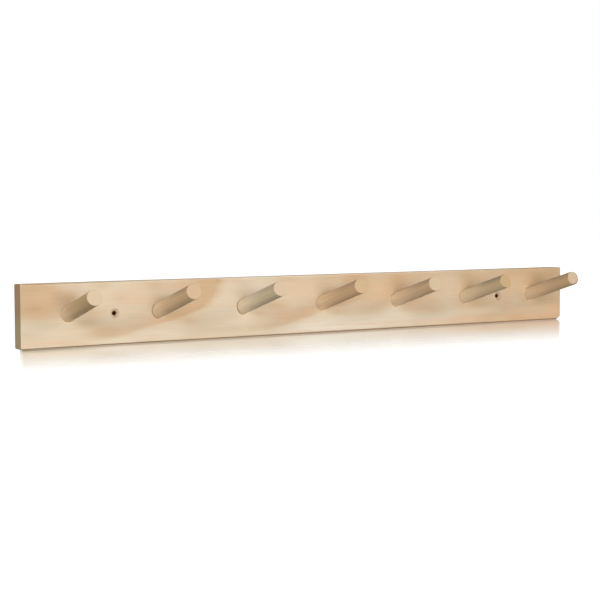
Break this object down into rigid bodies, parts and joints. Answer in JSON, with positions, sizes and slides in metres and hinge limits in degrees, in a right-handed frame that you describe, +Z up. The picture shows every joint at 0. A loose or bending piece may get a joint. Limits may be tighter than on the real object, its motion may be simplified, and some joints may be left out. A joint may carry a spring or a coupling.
{
  "type": "wall peg rail",
  "caption": "Straight wooden wall rail with a row of plain round dowel pegs that tilt up, and countersunk screw holes near both ends.",
  "frame": {"origin": "middle of the board's back face, on the wall", "axes": "+X along the board to the right as seen from the room, +Y into the wall, +Z up"},
  "size_m": [0.7, 0.1017, 0.065],
  "materials": {
    "board_pine": "sanded flat-sawn pine, no coating",
    "dowel_pine": "sanded pine dowel with the grain along it, no coating"
  },
  "bodies": {
    "root": {"back_board": "board_pine", "peg_1": "dowel_pine", "peg_2": "dowel_pine", "peg_3": "dowel_pine", "peg_4": "dowel_pine", "peg_5": "dowel_pine", "peg_6": "dowel_pine", "peg_7": "dowel_pine"}
  },
  "joints": []
}
